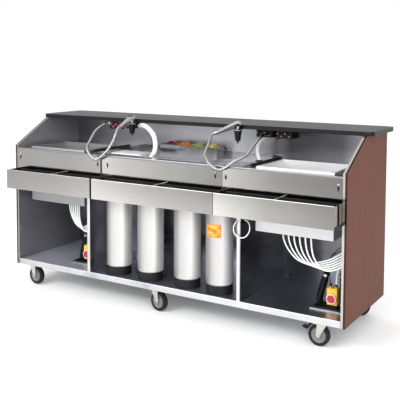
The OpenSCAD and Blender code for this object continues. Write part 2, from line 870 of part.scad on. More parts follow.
caster_wheel(caster_x[1], caster_front_y, caster_turns_front[1]);  // caster_wheel_front_center
caster_wheel(caster_x[2], caster_front_y, caster_turns_front[2]);  // caster_wheel_front_right
caster_wheel(caster_x[0], caster_back_y, caster_turns_back[0]);  // caster_wheel_back_left
caster_wheel(caster_x[1], caster_back_y, caster_turns_back[1]);  // caster_wheel_back_center
caster_wheel(caster_x[2], caster_back_y, caster_turns_back[2]);  // caster_wheel_back_right
brake_pedal();
gun_left();
gun_right();
gun_hose_left();
gun_hose_right();
gun_button_left(0);  // gun_button_left_1
gun_button_left(1);  // gun_button_left_2
gun_button_left(2);  // gun_button_left_3
gun_button_left(3);  // gun_button_left_4
gun_button_right(0);  // gun_button_right_1
gun_button_right(1);  // gun_button_right_2
gun_button_right(2);  // gun_button_right_3
gun_button_right(3);  // gun_button_right_4
cutting_board();
drain_rack();
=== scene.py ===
"""Portable bar with a soda system: looks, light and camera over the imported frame."""
import json
import math
import random

import bmesh
import bpy
from mathutils import Matrix, Quaternion, Vector

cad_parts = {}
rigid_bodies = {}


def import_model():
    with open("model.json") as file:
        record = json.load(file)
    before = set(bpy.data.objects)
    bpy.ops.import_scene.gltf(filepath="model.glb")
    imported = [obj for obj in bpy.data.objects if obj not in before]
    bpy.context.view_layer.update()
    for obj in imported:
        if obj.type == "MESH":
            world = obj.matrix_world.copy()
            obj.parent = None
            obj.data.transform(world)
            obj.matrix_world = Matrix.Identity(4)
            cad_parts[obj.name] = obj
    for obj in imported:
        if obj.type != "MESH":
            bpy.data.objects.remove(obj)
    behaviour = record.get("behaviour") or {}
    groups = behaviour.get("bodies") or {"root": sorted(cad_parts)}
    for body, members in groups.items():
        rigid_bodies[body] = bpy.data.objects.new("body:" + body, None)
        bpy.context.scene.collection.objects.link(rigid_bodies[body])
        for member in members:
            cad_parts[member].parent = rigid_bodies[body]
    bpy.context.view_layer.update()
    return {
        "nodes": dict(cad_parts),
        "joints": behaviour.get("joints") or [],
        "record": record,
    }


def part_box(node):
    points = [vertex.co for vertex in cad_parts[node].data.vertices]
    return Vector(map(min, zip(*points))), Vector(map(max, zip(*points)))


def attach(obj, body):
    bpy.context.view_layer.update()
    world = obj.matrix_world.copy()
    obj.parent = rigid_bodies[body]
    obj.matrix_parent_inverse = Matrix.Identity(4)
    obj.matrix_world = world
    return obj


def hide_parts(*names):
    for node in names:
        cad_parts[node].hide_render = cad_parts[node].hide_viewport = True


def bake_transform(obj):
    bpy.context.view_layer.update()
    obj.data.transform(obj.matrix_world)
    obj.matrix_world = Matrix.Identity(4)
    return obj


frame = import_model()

NODES = frame["nodes"]
random.seed(7)

# ---------- camera and light ----------

CAMERA_PLACE = (2.546, -4.036, 1.602)
CAMERA_TURN = 31.58
CAMERA_PITCH = 4.0
CAMERA_ROLL = 0.23


def make_camera():
    """A long lens from the bar's right front, shifted so that the bar's upright edges stay upright."""
    data = bpy.data.cameras.new("camera")
    data.lens = 65.93
    data.sensor_width = 36.0
    data.shift_x = 0.0148
    data.shift_y = -0.2249
    camera = bpy.data.objects.new("camera", data)
    bpy.context.scene.collection.objects.link(camera)
    turn, pitch, roll = (math.radians(v) for v in (CAMERA_TURN, CAMERA_PITCH, CAMERA_ROLL))
    back = Vector((math.sin(turn) * math.cos(pitch), -math.cos(turn) * math.cos(pitch), math.sin(pitch)))
    facing = (-back).to_track_quat("-Z", "Y")
    camera.rotation_mode = "QUATERNION"
    camera.rotation_quaternion = facing @ Quaternion((0, 0, 1), roll)
    camera.location = CAMERA_PLACE
    bpy.context.scene.camera = camera


def area_light(name, place, target, size, power):
    data = bpy.data.lights.new(name, "AREA")
    data.shape = "RECTANGLE"
    data.size, data.size_y = size
    data.energy = power
    light = bpy.data.objects.new(name, data)
    light.location = place
    light.rotation_mode = "QUATERNION"
    light.rotation_quaternion = (Vector(target) - Vector(place)).to_track_quat("-Z", "Y")
    bpy.context.scene.collection.objects.link(light)


def make_world():
    """A white studio: panels of light round the walls and overhead, and plain white to the camera."""
    world = bpy.data.worlds.new("studio")
    world.use_nodes = True
    bpy.context.scene.world = world
    tree = world.node_tree

    def add_ramp(steps, factor):
        ramp = tree.nodes.new("ShaderNodeValToRGB")
        while len(ramp.color_ramp.elements) < len(steps):
            ramp.color_ramp.elements.new(0.5)
        for element, (position, level) in zip(ramp.color_ramp.elements, steps):
            element.position = position
            element.color = (level, level, level, 1)
        tree.links.new(factor, ramp.inputs["Fac"])
        return ramp.outputs["Color"]

    coords = tree.nodes.new("ShaderNodeTexCoord")
    split = tree.nodes.new("ShaderNodeSeparateXYZ")
    tree.links.new(coords.outputs["Generated"], split.inputs[0])
    height = tree.nodes.new("ShaderNodeMapRange")
    height.inputs["From Min"].default_value = -1
    tree.links.new(split.outputs["Z"], height.inputs["Value"])
    turn = tree.nodes.new("ShaderNodeMath")
    turn.operation = "ARCTAN2"
    tree.links.new(split.outputs["X"], turn.inputs[0])
    tree.links.new(split.outputs["Y"], turn.inputs[1])
    bearing = tree.nodes.new("ShaderNodeMapRange")
    bearing.inputs["From Min"].default_value = -math.pi
    bearing.inputs["From Max"].default_value = math.pi
    tree.links.new(turn.outputs["Value"], bearing.inputs["Value"])
    levels = add_ramp(((0.0, 0.6), (0.49, 0.6), (0.53, 0.75), (0.64, 0.65), (0.75, 1.0), (1.0, 1.0)),
                      height.outputs["Result"])
    panels = add_ramp(((0.0, 0.85), (0.08, 1.0), (0.2, 0.55), (0.26, 1.0), (0.4, 0.7), (0.6, 0.7),
                       (0.72, 1.0), (0.8, 0.45), (0.88, 1.0), (1.0, 0.85)), bearing.outputs["Result"])
    both = tree.nodes.new("ShaderNodeMix")
    both.data_type = "RGBA"
    both.blend_type = "MULTIPLY"
    both.inputs[0].default_value = 1.0
    tree.links.new(levels, both.inputs[6])
    tree.links.new(panels, both.inputs[7])
    walls = tree.nodes["Background"]
    walls.inputs["Strength"].default_value = 1.48
    tree.links.new(both.outputs[2], walls.inputs["Color"])
    plain = tree.nodes.new("ShaderNodeBackground")
    plain.inputs["Color"].default_value = (1, 1, 1, 1)
    plain.inputs["Strength"].default_value = 1.0
    path = tree.nodes.new("ShaderNodeLightPath")
    choice = tree.nodes.new("ShaderNodeMixShader")
    tree.links.new(path.outputs["Is Camera Ray"], choice.inputs["Fac"])
    tree.links.new(walls.outputs["Background"], choice.inputs[1])
    tree.links.new(plain.outputs["Background"], choice.inputs[2])
    tree.links.new(choice.outputs["Shader"], tree.nodes["World Output"].inputs["Surface"])


def make_studio():
    make_world()
    area_light("key", (-1.2, -3.6, 2.6), (0, 0, 0.8), (3.4, 1.2), 100)
    area_light("fill", (3.0, -2.8, 2.2), (0.6, 0, 0.8), (1.6, 1.6), 55)
    bpy.context.scene.view_settings.view_transform = "Standard"


# ---------- materials ----------

MATERIALS = {}


def srgb(red, green, blue):
    """A colour given as 0 to 255 screen values, made linear."""
    def linear(v):
        v /= 255
        return v / 12.92 if v <= 0.04045 else ((v + 0.055) / 1.055) ** 2.4
    return (linear(red), linear(green), linear(blue), 1.0)


def shade(colour, factor):
    return tuple(min(1.0, c * factor) for c in colour[:3]) + (1.0,)


class Surface:
    """A node material under construction, on object coordinates in metres."""

    def __init__(self, name, **sockets):
        self.material = bpy.data.materials.new(name)
        self.material.use_nodes = True
        self.tree = self.material.node_tree
        self.shader = self.tree.nodes["Principled BSDF"]
        for socket, value in sockets.items():
            self.shader.inputs[socket.replace("_", " ")].default_value = value

    def add(self, kind, **inputs):
        made = self.tree.nodes.new(kind)
        for socket, value in inputs.items():
            made.inputs[socket.replace("_", " ")].default_value = value
        return made

    def link(self, output, socket):
        self.tree.links.new(output, socket)

    def places(self, scale):
        """Object coordinates stretched by a scale, for a pattern with a direction."""
        coords = self.add("ShaderNodeTexCoord")
        mapping = self.add("ShaderNodeMapping", Scale=scale)
        self.link(coords.outputs["Object"], mapping.inputs["Vector"])
        return mapping.outputs["Vector"]

    def noise(self, scale, detail=4.0, size=1.0, rough=0.5):
        made = self.add("ShaderNodeTexNoise", Scale=size, Detail=detail, Roughness=rough)
        self.link(self.places(scale), made.inputs["Vector"])
        return made.outputs["Fac"]

    def ramp(self, factor, steps):
        """Colours or grey levels along a factor."""
        made = self.add("ShaderNodeValToRGB")
        while len(made.color_ramp.elements) < len(steps):
            made.color_ramp.elements.new(0.5)
        for element, (position, colour) in zip(made.color_ramp.elements, steps):
            element.position = position
            element.color = colour if isinstance(colour, tuple) else (colour, colour, colour, 1)
        self.link(factor, made.inputs["Fac"])
        return made.outputs["Color"]

    def along(self, axis, steps):
        """Grey levels at positions in metres along an axis."""
        low, high = steps[0][0], steps[-1][0]
        split = self.add("ShaderNodeSeparateXYZ")
        self.link(self.places((1.0, 1.0, 1.0)), split.inputs[0])
        share = self.add("ShaderNodeMapRange", From_Min=low, From_Max=high)
        self.link(split.outputs[axis], share.inputs["Value"])
        return self.ramp(share.outputs["Result"], [((p - low) / (high - low), level) for p, level in steps])

    def turned(self, steps):
        """Grey levels by how far a face is turned to +X, from -1 to 1."""
        facing = self.add("ShaderNodeTexCoord")
        split = self.add("ShaderNodeSeparateXYZ")
        self.link(facing.outputs["Normal"], split.inputs[0])
        share = self.add("ShaderNodeMapRange", From_Min=-1.0, From_Max=1.0)
        self.link(split.outputs["X"], share.inputs["Value"])
        return self.ramp(share.outputs["Result"], [((p + 1) / 2, level) for p, level in steps])

    def mix(self, factor, low, high, blend="MIX"):
        made = self.tree.nodes.new("ShaderNodeMix")
        made.data_type = "RGBA"
        made.blend_type = blend
        for value, socket in ((factor, "Factor_Float"), (low, "A_Color"), (high, "B_Color")):
            target = next(s for s in made.inputs if s.identifier == socket)
            if hasattr(value, "is_linked"):
                self.link(value, target)
            else:
                target.default_value = value
        return next(s for s in made.outputs if s.identifier == "Result_Color")

    def brushing(self, along):
        """Fine scratches along one axis, and faint smears."""
        scale = [700.0, 700.0, 700.0]
        scale[along] = 6.0
        return self.noise(scale, detail=3), self.noise((2.3, 2.9, 3.4), detail=5, rough=0.6)

    def colour(self, output):
        self.link(output, self.shader.inputs["Base Color"])

    def roughness(self, factor, low, high):
        made = self.add("ShaderNodeMapRange", To_Min=low, To_Max=high)
        self.link(factor, made.inputs["Value"])
        self.link(made.outputs["Result"], self.shader.inputs["Roughness"])

    def bump(self, height, strength, distance=0.001):
        made = self.add("ShaderNodeBump", Strength=strength, Distance=distance)
        self.link(height, made.inputs["Height"])
        self.link(made.outputs["Normal"], self.shader.inputs["Normal"])


def brushed_metal(name, colour, rough=(0.22, 0.36), along=0, streak=0.07, bump=0.04, smudge=0.05,
                  tones=None, angles=None, heights=None, metallic=1.0):
    """Steel with fine scratches along one axis, faint smears and a slightly uneven gloss.

    Tones shade it along X, angles round a turned part and heights from its foot up. They stand for
    reflections of a room that the studio does not have, and are matched to the photograph.
    """
    surface = Surface(name, Metallic=metallic)
    scratches, smears = surface.brushing(along)
    grain = surface.ramp(scratches, [(0.3, shade(colour, 1 - streak)), (0.7, shade(colour, 1 + streak))])
    cloud = surface.ramp(smears, [(0.3, 1 - smudge), (0.7, 1.0)])
    tone = surface.mix(1.0, grain, cloud, "MULTIPLY")
    if tones:
        tone = surface.mix(1.0, tone, surface.along(0, tones), "MULTIPLY")
    if angles:
        tone = surface.mix(1.0, tone, surface.turned(angles), "MULTIPLY")
    if heights:
        tone = surface.mix(1.0, tone, surface.along(2, heights), "MULTIPLY")
    surface.colour(tone)
    surface.roughness(smears, *rough)
    surface.bump(scratches, bump, 0.0004)
    MATERIALS[name] = surface.material


def polished_metal(name, colour, rough=(0.06, 0.14), ripple=0.05, tones=None, heights=None):
    """Nearly mirror steel whose sheet is very slightly wavy; heights set its roughness going up, and tones
    paint reflections along X.
    """
    surface = Surface(name, Metallic=1.0)
    waves = surface.noise((3.0, 3.0, 2.0), detail=2)
    haze = surface.noise((9.0, 9.0, 14.0), detail=6, rough=0.65)
    tone = surface.ramp(haze, [(0.3, shade(colour, 0.94)), (0.7, colour)])
    if tones:
        tone = surface.mix(1.0, tone, surface.along(0, tones), "MULTIPLY")
    surface.colour(tone)
    if heights:
        surface.link(surface.along(2, heights), surface.shader.inputs["Roughness"])
    else:
        surface.roughness(haze, *rough)
    surface.bump(waves, ripple, 0.02)
    MATERIALS[name] = surface.material


def moulded(name, colour, rough=(0.35, 0.5), grain=900.0, bump=0.15, spread=0.08, **sockets):
    """Plastic, rubber or paint with a fine moulded texture and slightly uneven tone."""
    surface = Surface(name, **sockets)
    pebble = surface.noise((grain, grain, grain), detail=2)
    tone = surface.noise((14.0, 14.0, 14.0), detail=5, rough=0.6)
    surface.colour(surface.ramp(tone, [(0.25, shade(colour, 1 - spread)), (0.75, shade(colour, 1 + spread))]))
    surface.roughness(tone, *rough)
    surface.bump(pebble, bump, 0.0003)
    MATERIALS[name] = surface.material


def printed_label(name):
    """A glossy label with a faint blurred pattern and no lettering."""
    surface = Surface(name)
    rows = surface.noise((22.0, 22.0, 90.0), detail=2)
    surface.colour(surface.ramp(rows, [
        (0.4, srgb(244, 186, 60)), (0.5, srgb(232, 150, 44)), (0.62, srgb(196, 104, 30))]))
    surface.roughness(rows, 0.3, 0.42)
    MATERIALS[name] = surface.material


def wood_laminate(name):
    """Mahogany laminate with an upright grain of fine pores and broader figure."""
    surface = Surface(name, Specular_IOR_Level=0.15)
    figure = surface.noise((46.0, 46.0, 1.3), detail=7, rough=0.6)
    pores = surface.noise((520.0, 520.0, 10.0), detail=3)
    base = surface.ramp(figure, [
        (0.30, srgb(82, 40, 29)), (0.45, srgb(96, 50, 36)), (0.58, srgb(105, 58, 43)),
        (0.72, srgb(86, 43, 32))])
    dark = surface.ramp(pores, [(0.36, 0.80), (0.52, 1.0)])
    surface.colour(surface.mix(1.0, base, dark, "MULTIPLY"))
    surface.roughness(figure, 0.42, 0.55)
    surface.bump(pores, 0.08, 0.0004)
    MATERIALS[name] = surface.material


def counter_laminate(name):
    """Charcoal laminate with a fine speckle."""
    surface = Surface(name, Specular_IOR_Level=0.24)
    speckle = surface.noise((600.0, 600.0, 600.0), detail=2)
    cloud = surface.noise((6.0, 6.0, 6.0), detail=5)
    base = surface.ramp(speckle, [
        (0.38, srgb(10, 10, 12)), (0.5, srgb(15, 15, 17)), (0.66, srgb(26, 26, 29))])
    surface.colour(surface.mix(1.0, base, surface.ramp(cloud, [(0.3, 0.88), (0.7, 1.0)]), "MULTIPLY"))
    surface.roughness(cloud, 0.3, 0.42)
    surface.bump(speckle, 0.1, 0.0003)
    MATERIALS[name] = surface.material


def edge_steel(name, colour, axis, edge, past, rough, along, tones=None):
    """Brushed steel that is another tone past an edge along one axis, either way from the middle.

    It is duller to the left of the bar, as METAL_SHARE says.
    """
    surface = Surface(name)
    surface.link(surface.along(0, METAL_SHARE), surface.shader.inputs["Metallic"])
    scratches, smears = surface.brushing(along)
    split = surface.add("ShaderNodeSeparateXYZ")
    surface.link(surface.places((1.0, 1.0, 1.0)), split.inputs[0])
    size = surface.tree.nodes.new("ShaderNodeMath")
    size.operation = "ABSOLUTE"
    surface.link(split.outputs[axis], size.inputs[0])
    grain = surface.ramp(scratches, [(0.3, shade(colour, 0.92)), (0.7, colour)])
    for start, tone in zip(edge, past):
        beyond = surface.tree.nodes.new("ShaderNodeMath")
        beyond.operation = "GREATER_THAN"
        beyond.inputs[1].default_value = start
        surface.link(size.outputs[0], beyond.inputs[0])
        grain = surface.mix(beyond.outputs[0], grain, tone)
    if tones:
        grain = surface.mix(1.0, grain, surface.along(0, tones), "MULTIPLY")
    grain = surface.mix(1.0, grain, surface.ramp(smears, [(0.3, 0.62), (0.5, 0.9), (0.7, 1.0)]), "MULTIPLY")
    surface.colour(grain)
    surface.roughness(smears, *rough)
    surface.bump(scratches, 0.04, 0.0004)
    MATERIALS[name] = surface.material


# How much of its look is bare metal, along the bar: the left bay reads duller in the photograph
METAL_SHARE = [(-1.25, 0.5), (-0.62, 0.6), (-0.56, 0.95), (1.25, 1.0)]
# Shading along the bar, matched by colour samples to the reflections in the photograph
RAIL_TONES = [(-1.25, 0.62), (-0.75, 0.66), (-0.451, 0.78), (-0.449, 1.12), (0.0, 0.74), (0.454, 0.5),
              (0.456, 1.0), (0.8, 0.54), (1.25, 0.34)]
LINER_TONES = [(-1.25, 0.42), (-1.1945, 0.42), (-1.19, 0.7), (-0.5762, 0.8), (-0.5752, 1.5),
               (-0.5528, 1.5), (-0.5518, 0.6), (0.5518, 0.4), (0.5528, 1.6),
               (0.5752, 1.6), (0.5762, 0.5), (1.1, 0.7), (1.25, 1.0)]
# Shading of the ice bins along the bar
BIN_TONES = [(-1.1, 0.5), (-0.6, 0.6), (0.6, 1.0), (1.1, 1.0)]
# Painted reflections, dark and light, on the polished back wall along the bar
BACK_TONES = [(-1.25, 0.3), (-0.9, 0.55), (-0.6, 0.6), (-0.2, 0.9), (0.2, 0.8), (0.5, 0.4), (0.6, 0.12),
              (0.95, 0.2), (1.05, 0.5), (1.25, 0.7)]
# Shading round the tanks, dark on their left, and of the floor's front lip
TANK_ANGLES = [(-1.0, 0.2), (-0.7, 0.24), (-0.35, 0.3), (0.0, 0.5), (0.35, 0.62), (0.6, 0.7), (0.9, 1.0),
               (1.0, 1.0)]
LIP_TONES = [(-1.25, 0.8), (-0.6, 0.92), (0.0, 1.0), (1.25, 1.0)]
# Up to here the sheet is the lip, and past it the floor of the pan
LIP_TOP = 0.1775
brushed_metal("rail_steel", srgb(205, 203, 199), rough=(0.06, 0.11), along=0, smudge=0.1,
              tones=RAIL_TONES)
brushed_metal("stainless", srgb(160, 160, 163), rough=(0.14, 0.22), along=0)
# The bins' heights paint shade: the steel darkens towards the bottom inside them
brushed_metal("bin_steel", srgb(248, 248, 250), rough=(0.4, 0.5), along=0, tones=BIN_TONES,
              heights=[(0.55, 0.6), (0.80, 0.75), (0.86, 1.0), (1.0, 1.0)])
# The pan floor's steel is made lighter and bluer than the lip's, a painted reflection
edge_steel("stainless_floor", srgb(214, 216, 219), 2, (LIP_TOP,), (srgb(228, 231, 246),), (0.22, 0.36), 0,
           LIP_TONES)
edge_steel("stainless_liner", srgb(186, 186, 192), 0, (1.1938, 1.207), (srgb(206, 198, 190), srgb(70, 50,
           42)), (0.16, 0.24), 2, LINER_TONES)
polished_metal("polished_liner", srgb(206, 206, 214), tones=BACK_TONES, heights=[(0.17, 0.12), (0.9,
               0.16), (0.98, 0.3), (1.2, 0.34)])
brushed_metal("tank_steel", srgb(250, 248, 244), rough=(0.3, 0.4), along=2, streak=0.12, bump=0.02,
              angles=TANK_ANGLES, metallic=0.5)
brushed_metal("bright_edge", srgb(206, 205, 202), rough=(0.3, 0.4), along=0)
brushed_metal("galvanised", srgb(178, 180, 182), rough=(0.35, 0.5), along=1, smudge=0.2)
brushed_metal("zinc", srgb(196, 195, 186), rough=(0.2, 0.34), along=2, streak=0.03)
polished_metal("gun_chrome", srgb(182, 180, 176), rough=(0.14, 0.26))
brushed_metal("hose_steel", srgb(178, 176, 172), rough=(0.2, 0.32), along=2, streak=0.05)
wood_laminate("laminate_wood")
counter_laminate("laminate_top")
moulded("black_rubber", srgb(20, 20, 24), rough=(0.45, 0.65), spread=0.2, Specular_IOR_Level=0.3)
moulded("black_plastic", srgb(14, 14, 15), rough=(0.3, 0.45), spread=0.2, Specular_IOR_Level=0.22)
moulded("button_black", srgb(18, 18, 19), rough=(0.15, 0.25), bump=0.05, spread=0.2)
moulded("white_wrap", srgb(238, 238, 236), rough=(0.5, 0.7), grain=500.0, spread=0.03)
moulded("white_line", srgb(240, 240, 236), rough=(0.2, 0.32), bump=0.04, spread=0.03,
        Subsurface_Weight=0.2)
moulded("white_plastic", srgb(240, 240, 238), rough=(0.3, 0.45), spread=0.03)
moulded("yellow_plastic", srgb(236, 190, 60), rough=(0.28, 0.4))
moulded("caster_tyre", srgb(18, 18, 19), rough=(0.5, 0.7), grain=500.0, spread=0.25,
        Specular_IOR_Level=0.3)
moulded("caster_hub", srgb(112, 114, 108), rough=(0.35, 0.5), spread=0.1)
moulded("signal_red", srgb(190, 30, 34), rough=(0.3, 0.42), spread=0.1)
moulded("dark_red", srgb(96, 12, 22), rough=(0.25, 0.35), spread=0.15)
moulded("hose_pink", srgb(206, 46, 84), rough=(0.25, 0.35), spread=0.1)
moulded("sticker_border", srgb(222, 120, 30), rough=(0.35, 0.5), spread=0.05)
printed_label("sticker_face")
moulded("cherry", srgb(150, 12, 18), rough=(0.08, 0.16), grain=120.0, bump=0.1, spread=0.3)
moulded("citrus_pith", srgb(245, 238, 210), rough=(0.4, 0.55))
FRUIT = {"orange": ((240, 140, 30), (226, 110, 20), (0.3, 0.45)),
         "lime": ((190, 205, 110), (70, 120, 40), (0.25, 0.4)),
         "lemon": ((244, 222, 110), (240, 200, 40), (0.3, 0.45))}
for fruit, (flesh, rind, rind_rough) in FRUIT.items():
    moulded(f"{fruit}_flesh", srgb(*flesh), rough=(0.15, 0.3), grain=300.0, bump=0.4)
    moulded(f"{fruit}_rind", srgb(*rind), rough=rind_rough, grain=400.0, bump=0.5)


# CAD nodes whose look differs from the other parts of the same stock
NODE_LOOKS = {"ice_bin_left": "bin_steel", "ice_bin_right": "bin_steel"}


def dress_nodes():
    """Gives every carried-over CAD node its material."""
    slot_of = {part["node"]: part["material_slot"] for part in frame["record"]["subparts"]}
    for name, node in NODES.items():
        node.data.materials.clear()
        node.data.materials.append(MATERIALS[NODE_LOOKS.get(name, slot_of[name])])


# ---------- shapes ----------


def place_mesh(name, verts, faces, material, body, smooth=True):
    """A mesh piece that rides on a body, or on none yet if it is to be blended."""
    mesh = bpy.data.meshes.new(name)
    mesh.from_pydata([tuple(v) for v in verts], [], faces)
    mesh.validate()
    mesh.materials.append(MATERIALS[material])
    if smooth:
        mesh.polygons.foreach_set("use_smooth", [True] * len(mesh.polygons))
    piece = bpy.data.objects.new(name, mesh)
    bpy.context.scene.collection.objects.link(piece)
    if body:
        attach(piece, body)
    return piece


def curve_through(points, steps):
    """The same smooth curve through a route's points as the CAD tubes follow."""
    path = []
    last = len(points) - 1
    for i in range(last):
        a, b, c, d = (Vector(points[k]) for k in (max(i - 1, 0), i, i + 1, min(i + 2, last)))
        for step in range(steps):
            t = step / steps
            path.append((2 * b + (c - a) * t + (2 * a - 5 * b + 4 * c - d) * t * t
                         + (3 * b - a - 3 * c + d) * t ** 3) / 2)
    path.append(Vector(points[last]))
    return path


def resample(path, spacing):
    """Points at even distances along a path."""
    total = path_length(path)
    count = max(2, round(total / spacing))
    out, walked, i = [path[0].copy()], 0.0, 0
    for k in range(1, count):
        goal = total * k / count
        while walked + (path[i + 1] - path[i]).length < goal:
            walked += (path[i + 1] - path[i]).length
            i += 1
        out.append(path[i].lerp(path[i + 1], (goal - walked) / (path[i + 1] - path[i]).length))
    return out + [path[-1].copy()]


def path_length(path):
    return sum((b - a).length for a, b in zip(path, path[1:]))


def tube_mesh(path, radius_at, sides):
    """Verts and faces of a closed tube whose radius is a function of the ring number."""
    verts, faces = [], []
    normal = None
    for i, point in enumerate(path):
        heading = (path[min(i + 1, len(path) - 1)] - path[max(i - 1, 0)]).normalized()
        if normal is None:
            normal = heading.orthogonal()
        normal = (normal - normal.dot(heading) * heading).normalized()
        across = heading.cross(normal)
        for k in range(sides):
            angle = 2 * math.pi * k / sides
            verts.append(point + radius_at(i) * (math.cos(angle) * normal + math.sin(angle) * across))
    for i in range(len(path) - 1):
        for k in range(sides):
            j = (k + 1) % sides
            faces.append((i * sides + k, i * sides + j, (i + 1) * sides + j, (i + 1) * sides + k))
    faces.append(tuple(range(sides))[::-1])
    faces.append(tuple((len(path) - 1) * sides + k for k in range(sides)))
    return verts, faces


# ---------- cords ----------

GUN_HOSE_LEFT = [
    (-0.398, -0.184, 1.149), (-0.396, -0.212, 1.139), (-0.380, -0.250, 1.112), (-0.378, -0.284, 1.065),
    (-0.392, -0.320, 1.013), (-0.420, -0.344, 0.976), (-0.465, -0.349, 0.949), (-0.510, -0.350, 0.968),
    (-0.572, -0.312, 1.005), (-0.621, -0.247, 1.019), (-0.655, -0.182, 1.042), (-0.686, -0.082, 1.100),
    (-0.682, 0.010, 1.142), (-0.664, 0.046, 1.147), (-0.636, 0.056, 1.146)]
GUN_HOSE_RIGHT = [
    (0.247, -0.028, 1.136), (0.216, -0.028, 1.124), (0.221, -0.062, 1.098), (0.240, -0.112, 1.070),
    (0.270, -0.202, 1.030), (0.292, -0.245, 1.016), (0.325, -0.286, 1.010), (0.358, -0.322, 0.995),
    (0.405, -0.338, 0.966), (0.450, -0.338, 0.955), (0.492, -0.338, 0.974), (0.532, -0.310, 1.009),
    (0.564, -0.252, 1.031), (0.566, -0.202, 1.045), (0.556, -0.132, 1.075), (0.550, -0.062, 1.100),
    (0.540, 0.018, 1.124), (0.540, 0.100, 1.142)]
RISER_LEFT = [
    (-0.400, 0.040, 1.140), (-0.370, 0.022, 1.147), (-0.325, -0.014, 1.150), (-0.260, -0.052, 1.138),
    (-0.190, -0.098, 1.105), (-0.155, -0.128, 1.075), (-0.135, -0.150, 1.035), (-0.138, -0.162, 0.995),
    (-0.160, -0.160, 0.965), (-0.166, -0.160, 0.950)]
RISER_RIGHT = [
    (0.560, 0.196, 1.128), (0.530, 0.200, 1.118), (0.495, 0.200, 1.103), (0.458, 0.200, 1.084),
    (0.434, 0.200, 1.052), (0.426, 0.202, 1.015), (0.431, 0.202, 0.980), (0.438, 0.202, 0.965),
    (0.440, 0.202, 0.950)]
DRIP_RING = [
    (0.576, -0.306, 0.665), (0.560, -0.318, 0.662), (0.545, -0.328, 0.640), (0.540, -0.330, 0.615),
    (0.546, -0.328, 0.588), (0.565, -0.322, 0.570), (0.590, -0.318, 0.566), (0.612, -0.316, 0.575),
    (0.628, -0.306, 0.598), (0.630, -0.298, 0.622), (0.622, -0.290, 0.645), (0.606, -0.286, 0.660),
    (0.590, -0.288, 0.667)]
LINE_COUNT = 6
FIRST_LINE = [
    (-0.412, -0.170, 0.604), (-0.404, -0.171, 0.553), (-0.380, -0.172, 0.507), (-0.350, -0.172, 0.473),
    (-0.320, -0.172, 0.449), (-0.278, -0.172, 0.434), (-0.240, -0.172, 0.433), (-0.132, -0.170, 0.468),
    (-0.070, -0.166, 0.505), (-0.006, -0.158, 0.545)]
LAST_LINE = [
    (-0.214, -0.222, 0.604), (-0.208, -0.227, 0.553), (-0.198, -0.230, 0.507), (-0.183, -0.230, 0.474),
    (-0.165, -0.230, 0.449), (-0.143, -0.230, 0.432), (-0.114, -0.230, 0.426), (-0.075, -0.228, 0.434),
    (-0.036, -0.222, 0.452), (-0.006, -0.216, 0.470)]
# For each side of the bar: the wall its lines run to, how far its fan spreads, and its pump
LINE_SIDES = {"left": (-0.576, 0.665, -0.717), "right": (1.1925, 1.0, 1.077)}


def syrup_route(i, wall_x, spread):
    """One syrup line from under an ice bin to its fitting on a wall."""
    share = i / (LINE_COUNT - 1)
    route = [Vector(a).lerp(Vector(b), share) for a, b in zip(FIRST_LINE, LAST_LINE)]
    return [(wall_x + spread * place.x, place.y, place.z) for place in route]


def wire_routes(wall_x, pump_x):
    """The two wires from a pump up to the wall beside it."""
    return [
        [(pump_x - 0.015, -0.122, 0.306), (pump_x - 0.014, -0.134, 0.350), (pump_x - 0.015, -0.146, 0.430),
         (pump_x - 0.002, -0.150, 0.485), (pump_x + 0.040, -0.146, 0.520), (wall_x - 0.012, -0.138, 0.548)],
        [(pump_x - 0.056, -0.072, 0.375), (pump_x - 0.046, -0.100, 0.415), (pump_x - 0.026, -0.130, 0.455),
         (pump_x + 0.004, -0.140, 0.500), (pump_x + 0.044, -0.134, 0.540), (wall_x - 0.012, -0.124, 0.566)]]


def pump_line_route(wall_x, pump_x):
    """The syrup line from a pump's outlet to the wall beside it."""
    return [
        (pump_x + 0.019, -0.122, 0.306), (pump_x + 0.022, -0.128, 0.345), (pump_x + 0.030, -0.136, 0.395),
        (pump_x + 0.044, -0.136, 0.440), (pump_x + 0.072, -0.130, 0.474), (wall_x - 0.006, -0.124, 0.490)]


def cord_piece(name, route, diameter, material, node, rib=0.0, pitch=0.004, sides=16, body="bar"):
    """A cord along a route, ribbed like a wound hose where rib is more than 0."""
    per_rib = 4
    path = resample(curve_through(route, 12), pitch / per_rib if rib else pitch)
    profile = (0.0, 0.55, 1.0, 0.55)

    def radius_at(i):
        return diameter / 2 - rib * (1 - profile[i % per_rib])
    verts, faces = tube_mesh(path, radius_at, sides)
    piece = place_mesh(name, verts, faces, material, body)
    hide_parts(node)
    return piece


def make_cords():
    hose_left = cord_piece("gun_hose_left_wound", GUN_HOSE_LEFT, 0.018, "hose_steel", "gun_hose_left",
                           rib=0.0012, pitch=0.0045, body=None)
    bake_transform(hose_left)
    hose_right = cord_piece("gun_hose_right_wound", GUN_HOSE_RIGHT, 0.018, "hose_steel", "gun_hose_right",
                            rib=0.0012, pitch=0.0045, body=None)
    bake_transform(hose_right)
    for side, route in (("left", RISER_LEFT), ("right", RISER_RIGHT)):
        cord_piece(f"riser_{side}_wrapped", route, 0.030, "white_wrap", "riser_hoses",
                   rib=0.0008, pitch=0.009, sides=24)
    for side, (wall_x, spread, pump_x) in LINE_SIDES.items():
        for i in range(LINE_COUNT):
            cord_piece(f"syrup_line_{side}_{i + 1}", syrup_route(i, wall_x, spread), 0.0095, "white_line",
                       "product_lines", pitch=0.008, sides=12)
        cord_piece(f"pump_line_{side}", pump_line_route(wall_x, pump_x), 0.0095, "white_line",
                   "product_lines", pitch=0.008, sides=12)
        for i, route in enumerate(wire_routes(wall_x, pump_x)):
            cord_piece(f"pump_wire_{side}_{i + 1}", route, 0.005, "black_rubber", "pump_wires",
                       pitch=0.006, sides=8)
    cord_piece("drip_ring", DRIP_RING, 0.0066, "white_line", "product_lines", pitch=0.006, sides=10)


# ---------- turned and folded shapes ----------

